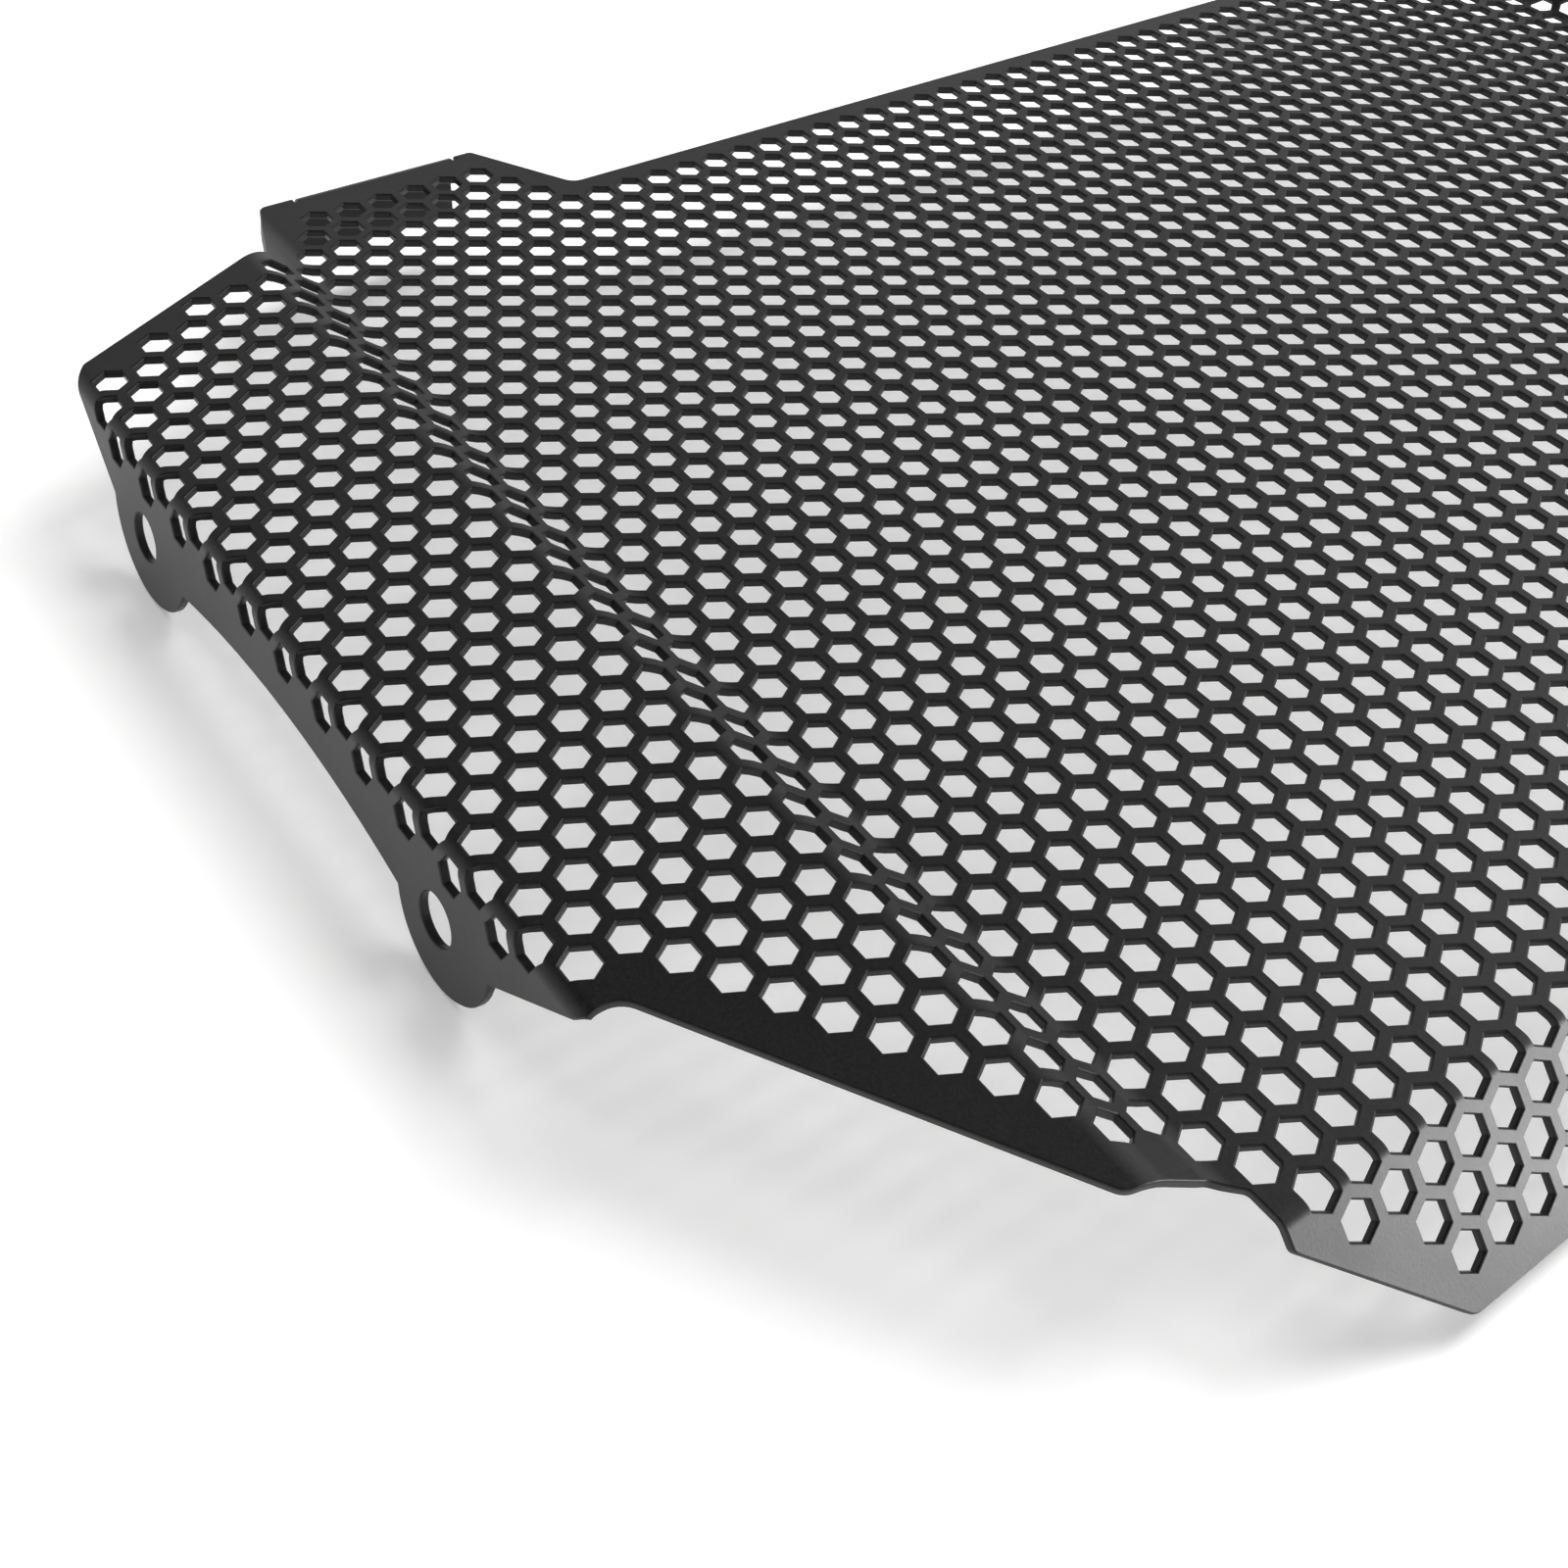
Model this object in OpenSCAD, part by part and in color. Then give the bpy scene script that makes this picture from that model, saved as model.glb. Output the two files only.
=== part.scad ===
// Motorcycle radiator guard: one perforated sheet with a joggle towards each side wing,
// a sloping flange along the near edge and a flange with two drilled tabs down each side.
// Width runs along X, height along Y, and the front face looks along +Z.

/* [Sheet] */
// Thickness of the sheet
sheet_t = 1.5; // [0.8:0.1:2.5]
// Inside radius of the folds
bend_r = 1.5; // [0.8:0.1:4]
// Radius of the small outer corners
corner_r = 3; // [1:0.5:4]

/* [Middle panel] */
// Length from the near fold to the far edge
panel_len = 244; // [210:1:300]
// Distance between the starts of the two joggles
joggle_span = 317; // [306:1:322]

/* [Joggles] */
// Rise of the wings above the middle panel
joggle_rise = 5; // [4.5:0.25:9]
// Steepest slope of a joggle in degrees
joggle_angle = 31; // [20:1:36]
// Length of the straight stretch between the two bends
joggle_flat = 5.6; // [2:0.2:5.8]

/* [Wings] */
// Distance between the two side folds
fold_span = 418; // [400:1:480]
// Fall of a wing towards its side fold in degrees
wing_fall = 2.6; // [0:0.2:6]
// Half width at which the wing leaves the far edge
wing_root = 166; // [161:1:176]
// Height of the wing's far corner above the near fold
side_far = 226; // [205:1:236]
// Height of the wing's near corner above the near fold
side_near = 66.5; // [40:0.5:80]
// Height above the near fold at which a wing's slanted edge ends
wing_near = 11.5; // [8:0.5:20]
// Fall of the edge from there towards the near flange
wing_dip = 3; // [0:0.25:3.5]
// Slope of the wing's near edge in degrees
wing_slant = 60; // [55:1:66]
// Gap between the side fold and the slanted edge
fold_relief = 4.6; // [4:0.2:10]

/* [Far tabs] */
// Height of the tabs above the far edge
tab_h = 20.6; // [16:0.2:32]
// Half width at the inner corner of a tab
tab_in = 112; // [90:1:120]
// Half width at the outer corner of a tab
tab_out = 158; // [150:1:160]
// Slope of a tab's inner side in degrees
tab_slant = 60; // [45:1:80]
// Half width at the inner side of the small flange on a tab
hook_in = 116.5; // [114:0.5:120]
// Width of the small flange on a tab
hook_w = 34; // [14:0.5:37]
// Drop of the small flange below the front face
hook_drop = 12; // [6:0.5:18]
// Distance from a tab's edge back to the start of its flange's bend
hook_lip = 1.3; // [1:0.1:2.5]

/* [Near flange] */
// Slope of the near flange in degrees
near_angle = 44; // [20:1:70]
// Width of the near flange along its slope
near_w = 25; // [18:0.5:30]
// Half width of the near flange at the fold
near_half = 157.5; // [148:0.5:158]
// Plain stretch of the flange's side before its chamfer
near_step = 3.5; // [3:0.5:8]
// Inward run of the flange's chamfer
near_run = 22; // [14:0.5:30]
// Size of the chamfer between the near flange and the wing
notch_run = 3.5; // [2:0.5:4]

/* [Side flanges] */
// Slope of the side flanges in degrees
side_angle = 81; // [70:1:90]
// Depth of the flange between its two tabs
side_mid = 12.5; // [10:0.5:15]
// Depth at which the edge between the tabs would reach their centre lines
side_end = 19.5; // [17:0.5:22]
// Depth of the two tabs
side_drop = 25.2; // [23:0.2:34]
// Radius of the far tab
far_tab_r = 14; // [11:0.5:16]
// Height of the far tab's centre above the near fold
far_tab_y = 194.5; // [185:0.5:198]
// Radius of the near tab
near_tab_r = 12.5; // [10:0.5:14]
// Height of the near tab's centre above the near fold
near_tab_y = 98.5; // [96:0.5:110]

/* [Tab holes] */
// Diameter of the fixing holes in the side tabs
fix_d = 8.2; // [5:0.1:10.5]
// Depth of the fixing holes below the side fold
fix_depth = 14.1; // [12:0.1:17]
// Offset of a fixing hole from its tab's centre line
fix_shift = 1.6; // [0:0.2:3]

/* [Hexagons] */
// Hexagons from the centre line to a side fold
columns = 12; // [9:1:14]
// Width of the web between two hexagons
hex_web = 5.3; // [3.5:0.1:8]
// Least width of metal between a hexagon and an edge
hex_rim = 2.4; // [1.6:0.1:5]

/* [Hidden] */
$fn = 96;

// Radii and setbacks of the folds, all on the middle of the sheet
mid_r = bend_r + sheet_t / 2;
near_set = mid_r * tan(near_angle / 2);
hook_set = mid_r + sheet_t / 2;
hook_run = 2 * hook_set - hook_lip;
side_turn = side_angle - wing_fall;
side_set = mid_r * tan(side_turn / 2);
joggle_r = (joggle_rise - joggle_flat * sin(joggle_angle)) / (2 * (1 - cos(joggle_angle)));
joggle_half = joggle_span / 2;
fold_half = fold_span / 2;
far_y = panel_len;
tab_y = far_y + tab_h;

// A run is [length, turn in degrees] and a pose is [x, z, heading in degrees]
function arc_len(r, turn) = r * abs(turn) * PI / 180;
function along(p, run, d) = run[1] == 0
    ? [p[0] + d * cos(p[2]), p[1] + d * sin(p[2]), p[2]]
    : let (r = run[0] / (run[1] * PI / 180), h = p[2] + run[1] * d / run[0])
      [p[0] + r * (sin(h) - sin(p[2])), p[1] - r * (cos(h) - cos(p[2])), h];
function pose_of(runs, origin, i) = i == 0
    ? origin
    : along(pose_of(runs, origin, i - 1), runs[i - 1], runs[i - 1][0]);
function run_end(runs, i) = i < 0 ? 0 : runs[i][0] + run_end(runs, i - 1);
function pose_at(runs, origin, s, i = 0) =
    i == len(runs) - 1 || s <= run_end(runs, i)
    ? along(pose_of(runs, origin, i), runs[i], s - run_end(runs, i - 1))
    : pose_at(runs, origin, s, i + 1);

// Section of one half from the centre line to the foot of the side flange
joggle_runs = [
    [joggle_half, 0],
    [arc_len(joggle_r, joggle_angle), joggle_angle],
    [joggle_flat, 0],
    [arc_len(joggle_r, joggle_angle + wing_fall), -joggle_angle - wing_fall]
];
joggle_end = pose_of(joggle_runs, [0, -sheet_t / 2, 0], 4);
wing_len = (fold_half - joggle_end[0]) / cos(wing_fall) - side_set;
flange_len = side_drop + sheet_t - side_set;
side_runs = concat(joggle_runs, [
    [wing_len, 0],
    [arc_len(mid_r, side_turn), -side_turn],
    [flange_len, 0]
]);
fold_z = joggle_end[1] - (wing_len + side_set) * sin(wing_fall);
bend_x = fold_half - side_set * cos(wing_fall);
fold_s = run_end(side_runs, 4) + side_runs[5][0] / 2;

// Section of the near flange, from the flat panel outwards
near_runs = [
    [arc_len(mid_r, near_angle), -near_angle],
    [near_w - near_set, 0]
];
near_s = near_runs[0][0] / 2;
notch_y = wing_near - wing_dip;
near_lap = (notch_y - notch_run) / 2;

// The front face of the middle panel is raised so that the side tabs stand on Z = 0,
// and the outline is centred on Y = 0
lift = side_drop * sin(side_angle) + sheet_t / 2 * cos(side_angle) - fold_z;
low_y = -near_w * cos(near_angle) - sheet_t / 2 * sin(near_angle);
high_y = tab_y - hook_lip + hook_set;
shift_y = -(high_y + low_y) / 2;

// Corners as [x, y, radius] for one half of the outline, laid flat, heights from the near fold
tab_foot = tab_in - tab_h / tan(tab_slant);
slant_top = fold_half - fold_relief;
relief_r = min(4, 1.5 * (bend_x - slant_top));
slant_foot = slant_top - (side_near - wing_near) / tan(wing_slant);
far_half = [
    [tab_foot, far_y, corner_r],
    [tab_in, tab_y, corner_r / 2],
    [tab_out, tab_y, corner_r / 2],
    [wing_root, far_y, corner_r / 2],
    [bend_x, side_far, 0]
];
near_outline = [
    [slant_top, side_near, relief_r],
    [slant_foot, wing_near, corner_r],
    [near_half + notch_run, notch_y, corner_r / 2],
    [near_half, notch_y - notch_run, corner_r / 2],
    [near_half, -near_step, corner_r / 2],
    [near_half - near_run, -near_w, corner_r]
];
sheet_half = concat(far_half, [[bend_x, side_near, 0]], near_outline);
zone_half = concat(
    far_half,
    [[fold_half + side_mid, side_far - side_mid, 0], [fold_half + side_mid, side_near + side_mid, 0]],
    near_outline
);

function mirrored(half) = concat(
    half,
    [for (i = [len(half) - 1:-1:0]) [-half[i][0], half[i][1], half[i][2]]]
);
function unit(v) = v / norm(v);
function wrap(a) = a > 180 ? a - 360 : a < -180 ? a + 360 : a;
function round_corner(a, b, c, r) =
    r == 0
    ? [b]
    : let (
        u = unit(a - b),
        v = unit(c - b),
        half_turn = acos(u * v) / 2,
        centre = b + unit(u + v) * r / sin(half_turn),
        p = b + u * r / tan(half_turn) - centre,
        q = b + v * r / tan(half_turn) - centre,
        start = atan2(p[1], p[0]),
        sweep = wrap(atan2(q[1], q[0]) - start)
      )
      [for (k = [0:4]) centre + r * [cos(start + sweep * k / 4), sin(start + sweep * k / 4)]];
function rounded(pts) = [
    for (i = [0:len(pts) - 1])
        let (
            n = len(pts),
            a = pts[(i + n - 1) % n],
            b = pts[i],
            c = pts[(i + 1) % n]
        )
        each round_corner([a[0], a[1]], [b[0], b[1]], [c[0], c[1]], b[2])
];
sheet_outline = rounded(mirrored(sheet_half));
zone = rounded(mirrored(zone_half));

// Hexagon pattern, laid out flat: one column sits on each side fold and one row on the near fold
pitch = fold_s / columns;
row = pitch * sqrt(3) / 2;
hex_r = (pitch - hex_web) / 2 / cos(30);
function edge_gap(p, a, b) =
    let (d = b - a, t = max(0, min(1, (p - a) * d / (d * d))))
    norm(p - a - t * d);
function passes(p, a, b) =
    (a[1] > p[1]) != (b[1] > p[1])
    && p[0] < (b[0] - a[0]) * (p[1] - a[1]) / (b[1] - a[1]) + a[0] ? 1 : 0;
function clear_of(p, pts) =
    let (
        n = len(pts),
        hits = [for (i = [0:n - 1]) passes(p, pts[i], pts[(i + 1) % n])]
    )
    (hits * [for (h = hits) 1]) % 2 == 0
    ? 0
    : min([for (i = [0:n - 1]) edge_gap(p, pts[i], pts[(i + 1) % n])]);
function flat_x(s) = s < run_end(side_runs, 4)
    ? pose_at(side_runs, [0, -sheet_t / 2, 0], s)[0]
    : fold_half + s - fold_s;
rows_below = floor(near_w / row);
rows_above = floor(tab_y / row);
sites = [
    for (j = [-rows_below:rows_above])
        for (i = [-columns:columns])
            let (s = (i + (j % 2 == 0 ? 0.5 : 0)) * pitch)
            if (abs(s) < fold_s + pitch / 4)
                if (clear_of([sign(s) * flat_x(abs(s)), j * row], zone) >= hex_r + hex_rim)
                    [s, j * row]
];

// One side of a section, a given distance off its middle, as chords of 10 degrees at most
function offset_side(runs, origin, off) = [
    for (i = [0:len(runs) - 1])
        let (n = max(1, ceil(abs(runs[i][1]) / 10)), p = pose_of(runs, origin, i))
        for (k = [(i == 0 ? 0 : 1):n])
            let (q = along(p, runs[i], runs[i][0] * k / n))
            [q[0] - off * sin(q[2]), q[1] + off * cos(q[2])]
];
function turned(pts) = [for (i = [len(pts) - 1:-1:0]) pts[i]];
function section(runs, origin) = concat(
    offset_side(runs, origin, sheet_t / 2),
    turned(offset_side(runs, origin, -sheet_t / 2))
);

// Cross section of the whole guard, from one side flange to the other
module cross_section() {
    front = offset_side(side_runs, [0, -sheet_t / 2, 0], sheet_t / 2);
    back = offset_side(side_runs, [0, -sheet_t / 2, 0], -sheet_t / 2);
    polygon(concat(
        front,
        turned(back),
        [for (i = [1:len(back) - 1]) [-back[i][0], back[i][1]]],
        [for (i = [len(front) - 1:-1:1]) [-front[i][0], front[i][1]]]
    ));
}

// Section extruded along Y between two heights
module folded_strip(y_low, y_high) {
    translate([0, y_high, 0])
    rotate([90, 0, 0])
    linear_extrude(y_high - y_low)
    cross_section();
}

// Middle panel, joggles and wings, cut to the outline
module panel() {
    intersection() {
        folded_strip(near_set + near_lap / 2, tab_y - 1.5 * hook_set);
        translate([0, 0, -sheet_t - 2 * joggle_rise])
        linear_extrude(sheet_t + 4 * joggle_rise)
        intersection() {
            polygon(sheet_outline);
            translate([-fold_half, 0])
            square([fold_span, tab_y]);
        }
    }
}

// Outline of a side flange, with heights along the first axis and depths along the second
module flange_outline() {
    span = far_tab_y - near_tab_y;
    rise = side_end - side_mid;
    arch_r = (span * span / 4 + rise * rise) / (2 * rise);
    far_tab_z = side_drop - far_tab_r;
    near_tab_z = side_drop - near_tab_r;
    tab_root = 2;
    difference() {
        polygon([
            [side_far + mid_r, -mid_r],
            [far_tab_y + (far_tab_r - tab_root) * cos(17), far_tab_z + (far_tab_r - tab_root) * sin(17)],
            [far_tab_y, side_end],
            [near_tab_y, side_end],
            [near_tab_y - near_tab_r + tab_root, near_tab_z + tab_root],
            [side_near - 2 * mid_r, -mid_r]
        ]);
        translate([(far_tab_y + near_tab_y) / 2, side_mid + arch_r])
        circle(r = arch_r, $fn = 360);
    }
    translate([far_tab_y, far_tab_z])
    circle(r = far_tab_r);
    translate([near_tab_y, near_tab_z])
    circle(r = near_tab_r);
}

// Side flange with its bend; depths are measured down the slope from the fold line
module side_flange() {
    inward = side_set + sheet_t / 2;
    intersection() {
        folded_strip(side_near, side_far + far_tab_r);
        translate([fold_half, 0, fold_z])
        rotate([0, side_angle, 0])
        rotate(90)
        translate([0, 0, -inward])
        linear_extrude(inward + 2 * sheet_t)
        mirror([0, 1])
        flange_outline();
    }
}

// Near flange with its bend, from a short lap on the panel outwards
module near_flange() {
    reach = 2 * (near_w + near_lap);
    intersection() {
        translate([near_half, 0, 0])
        rotate([90, 0, -90])
        linear_extrude(2 * near_half)
        polygon(section(
            concat([[near_lap, 0]], near_runs),
            [-near_set - near_lap, -sheet_t / 2, 0]
        ));
        rotate([near_angle, 0, 0])
        translate([0, 0, -reach / 2])
        linear_extrude(reach)
        polygon(rounded(mirrored([
            [near_half + 2 * near_run, 2 * near_w - 3 * near_step, 0],
            [near_half - near_run, -near_w, corner_r]
        ])));
    }
}

// Far border of a tab, with its small plain flange bent straight down
module tab_border() {
    translate([0, 0, -sheet_t])
    linear_extrude(sheet_t)
    intersection() {
        polygon(sheet_outline);
        for (x = [[0, hook_in], [hook_in + hook_w, joggle_half]])
            translate([x[0], tab_y - 2 * hook_set])
            square([x[1] - x[0], 2 * hook_set]);
    }
    intersection() {
        folded_strip(tab_y - 2 * hook_set, tab_y);
        translate([0, 0, -sheet_t - 2 * joggle_rise])
        linear_extrude(sheet_t + 4 * joggle_rise)
        intersection() {
            polygon(sheet_outline);
            translate([hook_in + hook_w + bend_r, tab_y - 2 * hook_set])
            square([bend_x, 2 * hook_set]);
        }
    }
    translate([hook_in, tab_y - hook_lip, 0])
    rotate([90, 0, 90])
    linear_extrude(hook_w)
    polygon(section(
        [[hook_run, 0], [arc_len(mid_r, 90), -90], [hook_drop - hook_set, 0]],
        [-hook_run, -sheet_t / 2, 0]
    ));
}

// Hexagonal cutter, made narrower across a fold so that it comes out regular when laid flat
module hex_cut(across = 1, down = 1) {
    reach = 2 * hex_r;
    translate([0, 0, -reach / 2])
    linear_extrude(reach)
    polygon([for (k = [30:60:330]) hex_r * [across * cos(k), down * sin(k)]]);
}

// Places its child square to the folded sheet at a point of the flat pattern
module on_sheet(s, y) {
    if (y < near_set) {
        p = pose_at(near_runs, [-near_set, -sheet_t / 2, 0], near_s - y);
        translate([s, -p[0], p[1]])
        rotate([-p[2], 0, 0])
        children();
    } else {
        p = pose_at(side_runs, [0, -sheet_t / 2, 0], abs(s));
        mirror([s < 0 ? 1 : 0, 0, 0])
        translate([p[0], y, p[1]])
        rotate([0, -p[2], 0])
        children();
    }
}

module guard() {
    color([0.07, 0.07, 0.075])
    translate([0, shift_y, lift])
    difference() {
        union() {
            panel();
            near_flange();
            for (m = [0, 1])
                mirror([m, 0, 0]) {
                    side_flange();
                    tab_border();
                }
        }
        for (p = sites)
            on_sheet(p[0], p[1])
            hex_cut(
                abs(p[0]) > fold_s - pitch / 4 ? cos(side_turn / 2) : 1,
                abs(p[1]) < near_set ? cos(near_angle / 2) : 1
            );
        for (m = [-1, 1])
            for (y = [far_tab_y + fix_shift, near_tab_y + fix_shift])
                on_sheet(m * (fold_s + side_runs[5][0] / 2 + fix_depth - side_set), y)
                cylinder(d = fix_d, h = 4 * sheet_t, center = true);
    }
}

guard();
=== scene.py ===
import math

import bmesh
import bpy
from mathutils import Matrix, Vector
from mathutils.geometry import delaunay_2d_cdt


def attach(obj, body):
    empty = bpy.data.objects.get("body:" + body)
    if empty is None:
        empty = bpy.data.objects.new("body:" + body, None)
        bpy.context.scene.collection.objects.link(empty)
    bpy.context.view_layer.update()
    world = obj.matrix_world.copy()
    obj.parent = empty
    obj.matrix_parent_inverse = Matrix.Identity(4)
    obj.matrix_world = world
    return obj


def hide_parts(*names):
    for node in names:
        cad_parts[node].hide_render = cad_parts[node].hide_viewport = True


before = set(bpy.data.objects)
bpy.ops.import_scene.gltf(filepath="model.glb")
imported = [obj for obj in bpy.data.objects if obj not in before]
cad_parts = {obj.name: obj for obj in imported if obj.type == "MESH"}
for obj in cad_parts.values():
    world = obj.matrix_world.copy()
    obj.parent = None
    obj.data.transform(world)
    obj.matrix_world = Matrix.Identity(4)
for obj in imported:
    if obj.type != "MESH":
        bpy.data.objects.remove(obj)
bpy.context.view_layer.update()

# Sizes of the guard in millimetres, the same as in the part's source
SHEET_T = 1.5
BEND_R = 1.5
CORNER_R = 3.0
PANEL_LEN = 244.0
JOGGLE_SPAN = 317.0
JOGGLE_RISE = 5.0
JOGGLE_ANGLE = 31.0
JOGGLE_FLAT = 5.6
FOLD_SPAN = 418.0
WING_FALL = 2.6
WING_ROOT = 166.0
SIDE_FAR = 226.0
SIDE_NEAR = 66.5
WING_NEAR = 11.5
WING_DIP = 3.0
WING_SLANT = 60.0
FOLD_RELIEF = 4.6
TAB_H = 20.6
TAB_IN = 112.0
TAB_OUT = 158.0
TAB_SLANT = 60.0
HOOK_IN = 116.5
HOOK_W = 34.0
HOOK_DROP = 12.0
HOOK_LIP = 1.3
NEAR_ANGLE = 44.0
NEAR_W = 25.0
NEAR_HALF = 157.5
NEAR_STEP = 3.5
NEAR_RUN = 22.0
NOTCH_RUN = 3.5
SIDE_ANGLE = 81.0
SIDE_MID = 12.5
SIDE_END = 19.5
SIDE_DROP = 25.2
FAR_TAB_R = 14.0
FAR_TAB_Y = 194.5
NEAR_TAB_R = 12.5
NEAR_TAB_Y = 98.5
FIX_D = 8.2
FIX_DEPTH = 14.1
FIX_SHIFT = 1.6

# Straight side of a side tab: how far inside the tab's circle it ends, and the direction
# of that end from the centre of the far tab in degrees
TAB_ROOT = 2.0
FAR_AIM = 17.0

# The real perforation: hexagons from the centre line to a side fold, the web between two
# of them, the least distance from a hexagon's centre to an edge on the panel and on the
# near flange, the height of the first row above the near fold, the rows tried below and
# above it, and how far past a side fold a hexagon's centre may lie
COLUMNS = 30
HEX_WEB = 2.1
EDGE_CLEAR = 3.88
NEAR_CLEAR = 4.3
FIRST_ROW = 0.78
ROWS_BELOW = 8
ROWS_ABOVE = 60
FLANGE_REACH = 4.2

# Width of the slit that lets the small flange on a tab bend down
SLIT = 0.6

# Width of the rounded edge that punching and powder coating leave
EDGE_R = 0.33

# Distances in millimetres up to which a point counts as on an edge, and two as the same
TOUCH = 0.01
SAME = 1e-3

# Distance in millimetres under which points of the flat mesh are merged, and the least
# cosine taken between two edges' normals, so that a sharp corner's mitre stays short
MERGE = 1e-6
MITRE_LEAST = -0.5

# Largest radius of the relief between a side fold and the slanted edge, and its share of
# the gap there
RELIEF_MOST = 4.0
RELIEF_SHARE = 1.5

# Colours of the paint's darkest and palest grains
PAINT_DARK = (0.005, 0.005, 0.0055, 1)
PAINT_PALE = (0.0108, 0.0108, 0.0116, 1)

# Extra brightness of the floor for the camera and in reflections
FLOOR_LIFT = 0.24

# Brightness of the room at the horizon and above, and the heights between which it fades,
# as the sine of the elevation
ROOM_PALE = 0.78
ROOM_DIM = 0.04
ROOM_PALE_TO = 0.35
ROOM_DIM_FROM = 0.68

# The photograph's camera: place in metres, turn in degrees and focal length in millimetres
CAMERA_PLACE = (-0.275032, -0.166309, 0.200141)
CAMERA_TURN = (43.614, -3.8784, -36.6015)
CAMERA_LENS = 40.866


def tan(deg):
    return math.tan(math.radians(deg))


def arc_len(radius, turn):
    return radius * math.radians(abs(turn))


MID_R = BEND_R + SHEET_T / 2
NEAR_SET = MID_R * tan(NEAR_ANGLE / 2)
HOOK_SET = MID_R + SHEET_T / 2
SIDE_TURN = SIDE_ANGLE - WING_FALL
SIDE_SET = MID_R * tan(SIDE_TURN / 2)
JOGGLE_R = (JOGGLE_RISE - JOGGLE_FLAT * math.sin(math.radians(JOGGLE_ANGLE))) / (
    2 * (1 - math.cos(math.radians(JOGGLE_ANGLE)))
)
TAB_Y = PANEL_LEN + TAB_H


def along(pose, run, d):
    """Position and heading a distance d into one run of a section."""
    x, z, h = pose
    length, turn = run
    if turn == 0:
        return x + d * math.cos(h), z + d * math.sin(h), h
    r = length / math.radians(turn)
    h2 = h + math.radians(turn) * d / length
    return x + r * (math.sin(h2) - math.sin(h)), z - r * (math.cos(h2) - math.cos(h)), h2


class Section:
    """Middle line of the folded sheet, followed by its length."""

    def __init__(self, runs, start):
        self.runs = runs
        self.poses = [start]
        self.starts = [0.0]
        for run in runs:
            self.poses.append(along(self.poses[-1], run, run[0]))
            self.starts.append(self.starts[-1] + run[0])

    def at(self, s):
        i = 0
        while i < len(self.runs) - 1 and s > self.starts[i + 1]:
            i += 1
        return along(self.poses[i], self.runs[i], s - self.starts[i])

    def creases(self, step=10.0, margin=0.35):
        """Lengths at which the flat sheet is cut so that its bends come out round."""
        out = []
        for i, (length, turn) in enumerate(self.runs):
            if turn == 0:
                continue
            n = max(2, math.ceil(abs(turn) / step))
            out += [self.starts[i] + length * k / n for k in range(n + 1)]
            out += [self.starts[i] - margin, self.starts[i + 1] + margin]
        return out


# Section of one half of the guard, of the near flange and of the small flange on a tab
joggle = Section(
    [
        (JOGGLE_SPAN / 2, 0),
        (arc_len(JOGGLE_R, JOGGLE_ANGLE), JOGGLE_ANGLE),
        (JOGGLE_FLAT, 0),
        (arc_len(JOGGLE_R, JOGGLE_ANGLE + WING_FALL), -JOGGLE_ANGLE - WING_FALL),
    ],
    (0.0, -SHEET_T / 2, 0.0),
)
WING_LEN = (FOLD_SPAN / 2 - joggle.poses[-1][0]) / math.cos(math.radians(WING_FALL)) - SIDE_SET
side = Section(
    joggle.runs
    + [
        (WING_LEN, 0),
        (arc_len(MID_R, SIDE_TURN), -SIDE_TURN),
        (SIDE_DROP, 0),
    ],
    (0.0, -SHEET_T / 2, 0.0),
)
near = Section(
    [(arc_len(MID_R, NEAR_ANGLE), -NEAR_ANGLE), (2 * NEAR_W, 0)],
    (-NEAR_SET, -SHEET_T / 2, 0.0),
)
hook = Section(
    [(arc_len(MID_R, 90), -90), (2 * HOOK_DROP, 0)],
    (TAB_Y - HOOK_LIP, -SHEET_T / 2, 0.0),
)
BEND_S = side.starts[5]
FOLD_S = BEND_S + side.runs[5][0] / 2
FLANGE_S = side.starts[6] - SIDE_SET
FOLD_Z = joggle.poses[-1][1] - (WING_LEN + SIDE_SET) * math.sin(math.radians(WING_FALL))
LIFT = (
    SIDE_DROP * math.sin(math.radians(SIDE_ANGLE))
    + SHEET_T / 2 * math.cos(math.radians(SIDE_ANGLE))
    - FOLD_Z
)
LOW_Y = (
    -NEAR_W * math.cos(math.radians(NEAR_ANGLE))
    - SHEET_T / 2 * math.sin(math.radians(NEAR_ANGLE))
)
HIGH_Y = TAB_Y - HOOK_LIP + HOOK_SET
SHIFT_Y = -(HIGH_Y + LOW_Y) / 2
HOOK_V = hook.runs[0][0] + HOOK_DROP - HOOK_SET
NEAR_V = NEAR_SET - near.runs[0][0] - (NEAR_W - NEAR_SET)


def flat_s(x):
    """Length along the section at which the sheet is x from the centre line."""
    if x <= JOGGLE_SPAN / 2:
        return x
    lo, hi = JOGGLE_SPAN / 2, BEND_S
    for _ in range(50):
        mid = (lo + hi) / 2
        lo, hi = (mid, hi) if side.at(mid)[0] < x else (lo, mid)
    return (lo + hi) / 2


def folded(s, v, out):
    """Point and front normal of the folded guard, a distance out from the middle of the sheet."""
    if v < NEAR_SET:
        y, z, h = near.at(NEAR_SET - v)
        n = Vector((0, math.sin(h), math.cos(h)))
        p = Vector((s, -y, z))
    elif v > TAB_Y - HOOK_LIP and HOOK_IN - TOUCH <= abs(s) <= HOOK_IN + HOOK_W + TOUCH:
        y, z, h = hook.at(v - (TAB_Y - HOOK_LIP))
        n = Vector((0, -math.sin(h), math.cos(h)))
        p = Vector((s, y, z))
    else:
        x, z, h = side.at(abs(s))
        sign = 1 if s >= 0 else -1
        n = Vector((-sign * math.sin(h), 0, math.cos(h)))
        p = Vector((sign * x, v, z))
    p = p + n * out
    return Vector((p.x, p.y + SHIFT_Y, p.z + LIFT)) / 1000, n


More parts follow.
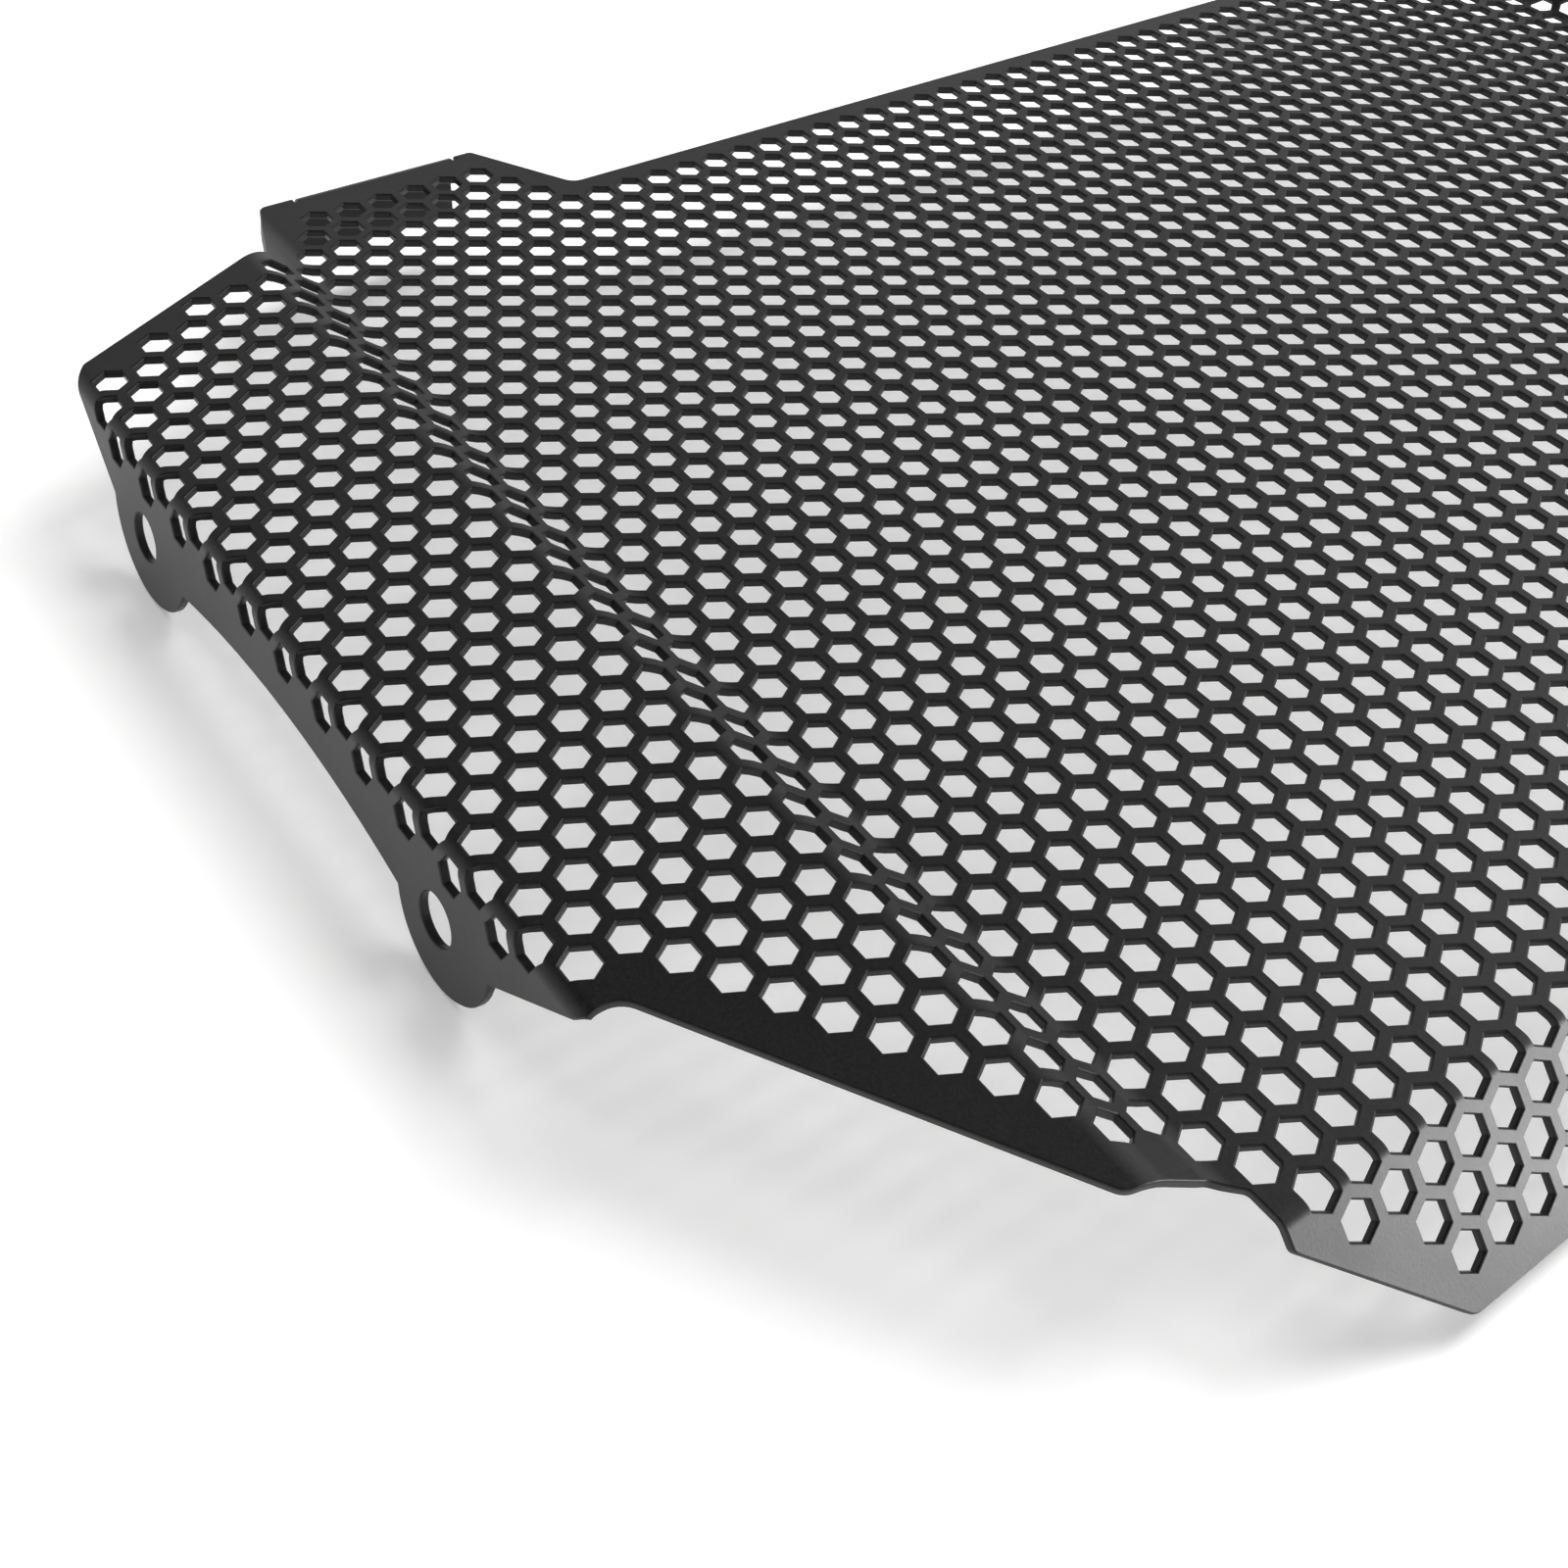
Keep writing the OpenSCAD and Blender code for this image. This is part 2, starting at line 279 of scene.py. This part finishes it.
def rounded(corners, steps=6):
    """Outline with its corners rounded; each corner is (x, y, radius)."""
    pts = []
    for i, (x, y, r) in enumerate(corners):
        b = Vector((x, y))
        if r == 0:
            pts.append(b)
            continue
        a = Vector(corners[i - 1][:2])
        c = Vector(corners[(i + 1) % len(corners)][:2])
        u, w = (a - b).normalized(), (c - b).normalized()
        half = math.acos(max(-1, min(1, u.dot(w)))) / 2
        centre = b + (u + w).normalized() * r / math.sin(half)
        p, q = b + u * r / math.tan(half) - centre, b + w * r / math.tan(half) - centre
        start = math.atan2(p.y, p.x)
        sweep = math.remainder(math.atan2(q.y, q.x) - start, 2 * math.pi)
        for k in range(steps + 1):
            ang = start + sweep * k / steps
            pts.append(centre + Vector((math.cos(ang), math.sin(ang))) * r)
    return pts


def arc_points(cx, cy, r, a0, a1, n):
    """Points along an arc between two angles in degrees."""
    return [
        Vector((cx + r * math.cos(math.radians(a0 + (a1 - a0) * k / n)),
                cy + r * math.sin(math.radians(a0 + (a1 - a0) * k / n))))
        for k in range(n + 1)
    ]


def side_flange_edge():
    """Free edge of a side flange from its far end to its near end, as (height, depth)."""
    far_z, near_z = SIDE_DROP - FAR_TAB_R, SIDE_DROP - NEAR_TAB_R
    span, rise = FAR_TAB_Y - NEAR_TAB_Y, SIDE_END - SIDE_MID
    arch_r = (span * span / 4 + rise * rise) / (2 * rise)
    arch_c = Vector(((FAR_TAB_Y + NEAR_TAB_Y) / 2, SIDE_MID + arch_r))

    def meet(a, b, centre, r):
        """First crossing of the line from a towards b with a circle."""
        d = (b - a).normalized()
        f = a - centre
        h = f.dot(d)
        return a + d * (-h - math.sqrt(h * h - f.dot(f) + r * r))

    def cross(c0, r0, c1, r1, side_sign):
        """Crossing of two circles on the chosen side of the line between their centres."""
        d = (c1 - c0).length
        a = (r0 * r0 - r1 * r1 + d * d) / (2 * d)
        h = math.sqrt(r0 * r0 - a * a)
        u = (c1 - c0) / d
        return c0 + u * a + Vector((-u.y, u.x)) * h * side_sign

    def turn_of(p, c):
        """Direction of a point from a centre in degrees."""
        return math.degrees(math.atan2(p.y - c.y, p.x - c.x))

    def arc_between(centre, r, p, q, n):
        """Points along an arc from the direction of p to that of q."""
        return arc_points(centre.x, centre.y, r, turn_of(p, centre), turn_of(q, centre), n)

    far_c, near_c = Vector((FAR_TAB_Y, far_z)), Vector((NEAR_TAB_Y, near_z))
    far_end = Vector((SIDE_FAR + MID_R, -MID_R))
    aim = math.radians(FAR_AIM)
    far_aim = far_c + Vector((math.cos(aim), math.sin(aim))) * (FAR_TAB_R - TAB_ROOT)
    near_end = Vector((SIDE_NEAR - 2 * MID_R, -MID_R))
    near_aim = Vector((NEAR_TAB_Y - NEAR_TAB_R + TAB_ROOT, near_z + TAB_ROOT))
    far_in = meet(far_end, far_aim, far_c, FAR_TAB_R)
    near_in = meet(near_end, near_aim, near_c, NEAR_TAB_R)
    far_notch = min(
        (cross(far_c, FAR_TAB_R, arch_c, arch_r, k) for k in (1, -1)), key=lambda p: p.x
    )
    near_notch = max(
        (cross(near_c, NEAR_TAB_R, arch_c, arch_r, k) for k in (1, -1)), key=lambda p: p.x
    )
    edge = [far_end]
    tab_steps, arch_steps = 22, 14
    edge += arc_between(far_c, FAR_TAB_R, far_in, far_notch, tab_steps)
    edge += arc_between(arch_c, arch_r, far_notch, near_notch, arch_steps)[1:-1]
    edge += arc_between(near_c, NEAR_TAB_R, near_notch, near_in, tab_steps)
    foot = near_in + (near_end - near_in) * (near_in.y - SIDE_SET) / (near_in.y - near_end.y)
    return edge + [foot]


def outline_half():
    """Flat outline of the right half, from the foot of the far tab to the near flange."""
    tab_foot = TAB_IN - TAB_H / tan(TAB_SLANT)
    slant_top = FOLD_SPAN / 2 - FOLD_RELIEF
    bend_x = side.at(BEND_S)[0]
    slant_foot = slant_top - (SIDE_NEAR - WING_NEAR) / tan(WING_SLANT)
    relief = min(RELIEF_MOST, RELIEF_SHARE * (bend_x - slant_top))
    upper = rounded(
        [
            (0, PANEL_LEN, 0),
            (tab_foot, PANEL_LEN, CORNER_R),
            (TAB_IN, TAB_Y, CORNER_R / 2),
            (TAB_OUT, TAB_Y, CORNER_R / 2),
            (WING_ROOT, PANEL_LEN, CORNER_R / 2),
            (bend_x, SIDE_FAR, 0),
            (0, SIDE_FAR, 0),
        ]
    )[1:-1]
    lower = rounded(
        [
            (bend_x, SIDE_NEAR, 0),
            (slant_top, SIDE_NEAR, relief),
            (slant_foot, WING_NEAR, CORNER_R),
            (NEAR_HALF + NOTCH_RUN, WING_NEAR - WING_DIP, CORNER_R / 2),
            (NEAR_HALF, WING_NEAR - WING_DIP - NOTCH_RUN, CORNER_R / 2),
            (NEAR_HALF, -NEAR_STEP, CORNER_R / 2),
            (NEAR_HALF - NEAR_RUN, -NEAR_W, CORNER_R),
            (0, -NEAR_W, 0),
        ]
    )[:-1]
    pts = []
    for p in upper:
        pts.append(Vector((flat_s(p.x), p.y)))
    for k in range(len(pts)):
        if abs(pts[k].y - TAB_Y) < SAME and abs(pts[k + 1].y - TAB_Y) < SAME:
            top = TAB_Y - HOOK_LIP
            left, right = HOOK_IN, HOOK_IN + HOOK_W
            pts[k + 1:k + 1] = [
                Vector((left - SLIT, TAB_Y)), Vector((left - SLIT, top)), Vector((left, top)),
                Vector((left, top + HOOK_V)), Vector((right, top + HOOK_V)),
                Vector((right, top)), Vector((right + SLIT, top)), Vector((right + SLIT, TAB_Y)),
            ]
            break
    flange = [Vector((FLANGE_S + e.y, e.x)) for e in side_flange_edge()]
    pts += [p for p in flange if p.x > side.starts[6] - SAME]
    pts.append(Vector((FOLD_S, SIDE_NEAR)))
    for p in lower:
        v = p.y
        if v < 0:
            v = v * (NEAR_SET - NEAR_V) / (NEAR_SET + NEAR_W)
        pts.append(Vector((flat_s(p.x), v)))
    return pts


def edge_gap(p, loop):
    """Least distance from a point to the sides of a loop."""
    best = math.inf
    n = len(loop)
    for i in range(n):
        a, b = loop[i], loop[(i + 1) % n]
        d = b - a
        t = max(0.0, min(1.0, (p - a).dot(d) / max(d.dot(d), 1e-12)))
        best = min(best, (p - a - d * t).length)
    return best


def holds(p, loop):
    """Whether a loop holds a point."""
    inside = False
    n = len(loop)
    for i in range(n):
        a, b = loop[i], loop[(i + 1) % n]
        if (a.y > p.y) != (b.y > p.y) and p.x < (b.x - a.x) * (p.y - a.y) / (b.y - a.y) + a.x:
            inside = not inside
    return inside


half = outline_half()
outline = half + [Vector((-p.x, p.y)) for p in reversed(half)]
PITCH = FOLD_S / COLUMNS
ROW = PITCH * math.sqrt(3) / 2
HEX_R = (PITCH - HEX_WEB) / 2 / math.cos(math.radians(30))

# The small flange stays plain, so the test for hexagons uses the tab without it
slit_from, slit_to = HOOK_IN - SLIT - TOUCH, HOOK_IN + HOOK_W + SLIT + TOUCH
plain_half = [p for p in half if p.y <= PANEL_LEN + 1 or not slit_from < p.x < slit_to]
plain = plain_half + [Vector((-p.x, p.y)) for p in reversed(plain_half)]
sites = []
for j in range(-ROWS_BELOW, ROWS_ABOVE):
    for i in range(-COLUMNS - 2, COLUMNS + 3):
        s = (i + (0.5 if j % 2 == 0 else 0.0)) * PITCH
        p = Vector((s, FIRST_ROW + j * ROW))
        if abs(s) > FOLD_S + FLANGE_REACH or not holds(p, plain):
            continue
        # The outer border of a far tab, beside the joggle, stays plain
        if p.y > PANEL_LEN + PITCH and abs(s) > JOGGLE_SPAN / 2 - PITCH / 2:
            continue
        if edge_gap(p, plain) >= (EDGE_CLEAR if p.y > 0 else NEAR_CLEAR):
            sites.append(p)
print("hexagons", len(sites))


def grown(loop, width):
    """Loop moved out of the metal by a width; the metal lies to the left of its direction."""
    out = []
    n = len(loop)
    for i in range(n):
        a, b, c = loop[i - 1], loop[i], loop[(i + 1) % n]
        d, e = (b - a).normalized(), (c - b).normalized()
        m, k = Vector((d.y, -d.x)), Vector((e.y, -e.x))
        out.append(b + (m + k) * width / (1 + max(MITRE_LEAST, m.dot(k))))
    return out


def area(loop):
    """Area of a loop, positive when it runs anticlockwise."""
    return sum(a.x * b.y - b.x * a.y for a, b in zip(loop, loop[1:] + loop[:1])) / 2


def crossed(face, place, normal):
    """Whether a plane passes through a face."""
    offs = [(v.co - place).dot(normal) for v in face.verts]
    return min(offs) < 0 < max(offs)


def flat_mesh():
    """Flat front face of the sheet with every opening, drawn in by the rounded edges."""
    edge = outline if area(outline) > 0 else outline[::-1]
    loops = [grown(edge, -EDGE_R)]
    hex_grown = HEX_R + EDGE_R / math.cos(math.radians(30))
    for p in sites:
        loops.append([
            p + Vector((math.cos(a), math.sin(a))) * hex_grown
            for a in (math.radians(30 + 60 * k) for k in range(6))
        ])
    fix_s, fix_r, sides = FLANGE_S + FIX_DEPTH, FIX_D / 2 + EDGE_R, 40
    for sign in (-1, 1):
        for y in (FAR_TAB_Y + FIX_SHIFT, NEAR_TAB_Y + FIX_SHIFT):
            loops.append([
                Vector((sign * fix_s, y)) + Vector((math.cos(a), math.sin(a))) * fix_r
                for a in (2 * math.pi * k / sides for k in range(sides))
            ])
    verts, edges, owner = [], [], []
    for index, loop in enumerate(loops):
        first = len(verts)
        verts += loop
        owner += [index] * len(loop)
        edges += [(first + i, first + (i + 1) % len(loop)) for i in range(len(loop))]
    pts, _, tris, origins, _, _ = delaunay_2d_cdt(verts, edges, [], 1, MERGE)
    of_loop = [owner[o[0]] if o else -1 for o in origins]
    bm = bmesh.new()
    made = [bm.verts.new((p.x, p.y, 0)) for p in pts]
    for tri in tris:
        owners = {of_loop[i] for i in tri}
        if len(owners) == 1:
            index = owners.pop()
            centre = sum((pts[i] for i in tri), Vector((0, 0))) / len(tri)
            if index != 0 or not holds(centre, loops[0]):
                continue
        bm.faces.new([made[i] for i in tri])
    loose = [v for v in bm.verts if not v.link_faces]
    bmesh.ops.delete(bm, geom=loose, context="VERTS")
    across, down = Vector((1, 0, 0)), Vector((0, 1, 0))
    cuts = [(across * sign * c, across) for c in side.creases() for sign in (-1, 1)]
    cuts += [(down * (NEAR_SET - c), down) for c in near.creases()]
    cuts += [(down * (TAB_Y - HOOK_LIP + c), down) for c in hook.creases()]
    for place, normal in cuts:
        cut_faces = [f for f in bm.faces if crossed(f, place, normal)]
        if cut_faces:
            geom = list({e for f in cut_faces for e in f.edges}) + cut_faces
            geom += list({v for f in cut_faces for v in f.verts})
            bmesh.ops.bisect_plane(bm, geom=geom, dist=MERGE, plane_co=place, plane_no=normal)
    bmesh.ops.recalc_face_normals(bm, faces=bm.faces)
    if sum(f.normal.z for f in bm.faces) < 0:
        bmesh.ops.reverse_faces(bm, faces=bm.faces)
    return bm


def axes_at(s, v):
    """Directions of growing s and v on the folded sheet."""
    eps = 0.01
    p0, _ = folded(s - eps, v, 0)
    p1, _ = folded(s + eps, v, 0)
    q0, _ = folded(s, v - eps, 0)
    q1, _ = folded(s, v + eps, 0)
    return (p1 - p0).normalized(), (q1 - q0).normalized()


def build_sheet():
    """The folded sheet with a front, a back and rounded walls along every edge."""
    bm = flat_mesh()
    bm.verts.index_update()
    flat = [Vector((v.co.x, v.co.y)) for v in bm.verts]
    faces = [[v.index for v in f.verts] for f in bm.faces]
    rims = []
    for e in bm.edges:
        if len(e.link_faces) == 1:
            loop = e.link_loops[0]
            rims.append((loop.vert.index, loop.link_loop_next.vert.index))
    bm.free()
    void = {}
    for a, b in rims:
        d = (flat[b] - flat[a]).normalized()
        for i in (a, b):
            void.setdefault(i, []).append(Vector((d.y, -d.x)))
    fronts, backs, normals = [], [], []
    for p in flat:
        f, n = folded(p.x, p.y, SHEET_T / 2)
        b, _ = folded(p.x, p.y, -SHEET_T / 2)
        fronts.append(f)
        backs.append(b)
        normals.append(n)
    count = len(flat)
    verts = fronts + backs
    wall = {}
    for i, dirs in void.items():
        m = dirs[0] + dirs[-1]
        step = m * EDGE_R / (1 + max(MITRE_LEAST, dirs[0].dot(dirs[-1])))
        q = flat[i] + step
        f, _ = folded(q.x, q.y, SHEET_T / 2 - EDGE_R)
        b, _ = folded(q.x, q.y, EDGE_R - SHEET_T / 2)
        wall[i] = (len(verts), len(verts) + 1)
        verts += [f, b]
    polys, loop_normals = [], []
    for f in faces:
        polys.append(f)
        loop_normals += [normals[i] for i in f]
        polys.append([i + count for i in reversed(f)])
        loop_normals += [-normals[i] for i in reversed(f)]
    for a, b in rims:
        d = (flat[b] - flat[a]).normalized()
        mid = (flat[a] + flat[b]) / 2
        es, ev = axes_at(mid.x, mid.y)
        out = (es * d.y - ev * d.x).normalized()
        fa, ba = wall[a]
        fb, bb = wall[b]
        polys.append([b, a, fa, fb])
        loop_normals += [normals[b], normals[a], out, out]
        polys.append([fb, fa, ba, bb])
        loop_normals += [out] * 4
        polys.append([bb, ba, a + count, b + count])
        loop_normals += [out, out, -normals[a], -normals[b]]
    mesh = bpy.data.meshes.new("guard_sheet")
    mesh.from_pydata([tuple(v) for v in verts], [], polys)
    mesh.polygons.foreach_set("use_smooth", [True] * len(mesh.polygons))
    mesh.normals_split_custom_set([tuple(n) for n in loop_normals])
    mesh.update()
    obj = bpy.data.objects.new("guard_sheet", mesh)
    bpy.context.scene.collection.objects.link(obj)
    return obj


guard = build_sheet()
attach(guard, "root")
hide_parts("guard")
print("triangles", sum(len(p.vertices) - 2 for p in guard.data.polygons))


def powder_coat():
    """Satin black powder coat: a dark paint with a fine grain and a soft sheen."""
    mat = bpy.data.materials.new("black_powder_coat")
    mat.use_nodes = True
    nodes, links = mat.node_tree.nodes, mat.node_tree.links
    shader = nodes["Principled BSDF"]
    coords = nodes.new("ShaderNodeTexCoord")

    def noise(scale, detail):
        tex = nodes.new("ShaderNodeTexNoise")
        tex.inputs["Scale"].default_value = scale
        tex.inputs["Detail"].default_value = detail
        links.new(coords.outputs["Object"], tex.inputs["Vector"])
        return tex

    def bump(strength, distance, height):
        node = nodes.new("ShaderNodeBump")
        node.inputs["Strength"].default_value = strength
        node.inputs["Distance"].default_value = distance
        links.new(height.outputs["Fac"], node.inputs["Height"])
        return node

    fine, broad, peel = noise(2600, 2), noise(45, 3), noise(520, 1)
    tint = nodes.new("ShaderNodeValToRGB")
    tint.color_ramp.elements[0].position = 0.35
    tint.color_ramp.elements[0].color = PAINT_DARK
    tint.color_ramp.elements[1].position = 0.72
    tint.color_ramp.elements[1].color = PAINT_PALE
    links.new(fine.outputs["Fac"], tint.inputs["Fac"])
    links.new(tint.outputs["Color"], shader.inputs["Base Color"])
    shader.inputs["Specular IOR Level"].default_value = 0.42
    rough = nodes.new("ShaderNodeMapRange")
    rough.inputs["To Min"].default_value = 0.36
    rough.inputs["To Max"].default_value = 0.48
    links.new(broad.outputs["Fac"], rough.inputs["Value"])
    links.new(rough.outputs["Result"], shader.inputs["Roughness"])
    grain, swell = bump(0.22, 0.00006, fine), bump(0.12, 0.0001, peel)
    links.new(grain.outputs["Normal"], swell.inputs["Normal"])
    links.new(swell.outputs["Normal"], shader.inputs["Normal"])
    return mat


guard.data.materials.append(powder_coat())

# Floor: white paper, shown a little brighter than the lamps alone make it
bpy.ops.mesh.primitive_plane_add(size=24, location=(0, 0, 0))
floor = bpy.context.object
floor.name = "floor"


def white_paper():
    """White paper that glows a little for the camera and in reflections."""
    mat = bpy.data.materials.new("white_paper")
    mat.use_nodes = True
    nodes, links = mat.node_tree.nodes, mat.node_tree.links
    shader = nodes["Principled BSDF"]
    shader.inputs["Base Color"].default_value = (0.87, 0.87, 0.865, 1)
    shader.inputs["Roughness"].default_value = 0.8
    shader.inputs["Specular IOR Level"].default_value = 0.15
    shader.inputs["Emission Color"].default_value = (1, 1, 1, 1)
    path = nodes.new("ShaderNodeLightPath")
    seen = nodes.new("ShaderNodeMath")
    seen.operation = "MAXIMUM"
    links.new(path.outputs["Is Camera Ray"], seen.inputs[0])
    links.new(path.outputs["Is Glossy Ray"], seen.inputs[1])
    lift = nodes.new("ShaderNodeMath")
    lift.operation = "MULTIPLY"
    lift.inputs[1].default_value = FLOOR_LIFT
    links.new(seen.outputs["Value"], lift.inputs[0])
    links.new(lift.outputs["Value"], shader.inputs["Emission Strength"])
    return mat


floor.data.materials.append(white_paper())


def pale_room():
    """World that is pale at the horizon and dim above, as a room with a dark ceiling."""
    world = bpy.data.worlds.new("room")
    bpy.context.scene.world = world
    world.use_nodes = True
    nodes, links = world.node_tree.nodes, world.node_tree.links
    coords = nodes.new("ShaderNodeTexCoord")
    parts = nodes.new("ShaderNodeSeparateXYZ")
    links.new(coords.outputs["Generated"], parts.inputs["Vector"])
    fade = nodes.new("ShaderNodeMapRange")
    fade.interpolation_type = "SMOOTHSTEP"
    fade.inputs["From Min"].default_value = ROOM_PALE_TO
    fade.inputs["From Max"].default_value = ROOM_DIM_FROM
    fade.inputs["To Min"].default_value = ROOM_PALE
    fade.inputs["To Max"].default_value = ROOM_DIM
    links.new(parts.outputs["Z"], fade.inputs["Value"])
    background = nodes["Background"]
    background.inputs["Color"].default_value = (1, 1, 1, 1)
    links.new(fade.outputs["Result"], background.inputs["Strength"])


pale_room()


def lamp(name, azimuth, elevation, distance, width, height, power, sheen=True):
    """Soft lamp aimed at the guard; azimuth is measured from +X towards +Y."""
    a, e = math.radians(azimuth), math.radians(elevation)
    place = Vector((math.cos(e) * math.cos(a), math.cos(e) * math.sin(a), math.sin(e))) * distance
    data = bpy.data.lights.new(name, "AREA")
    data.shape = "RECTANGLE"
    data.size = width
    data.size_y = height
    data.energy = power
    obj = bpy.data.objects.new(name, data)
    obj.location = place
    obj.rotation_euler = (-place).to_track_quat("-Z", "Y").to_euler()
    obj.visible_glossy = sheen
    bpy.context.scene.collection.objects.link(obj)


# Key from the right and a broad lamp overhead, both without a sheen, a low lamp that the
# near flange reflects and a weak window that the panel reflects
lamp("key", 8, 61, 1.3, 0.7, 0.7, 15, sheen=False)
lamp("overhead", 100, 84, 1.9, 1.1, 1.1, 9, sheen=False)
lamp("low", -52, 10, 1.2, 0.6, 0.2, 12)
lamp("window", -10, 40, 1.3, 1.0, 1.0, 4.2)

# Camera at the photograph's viewing angle; the photograph is square
camera_data = bpy.data.cameras.new("camera")
camera_data.sensor_width = 36
camera_data.lens = CAMERA_LENS
camera = bpy.data.objects.new("camera", camera_data)
camera.location = CAMERA_PLACE
camera.rotation_euler = tuple(math.radians(a) for a in CAMERA_TURN)
camera_data.clip_start = 0.01
bpy.context.scene.collection.objects.link(camera)
bpy.context.scene.camera = camera
bpy.context.scene.view_settings.view_transform = "Standard"
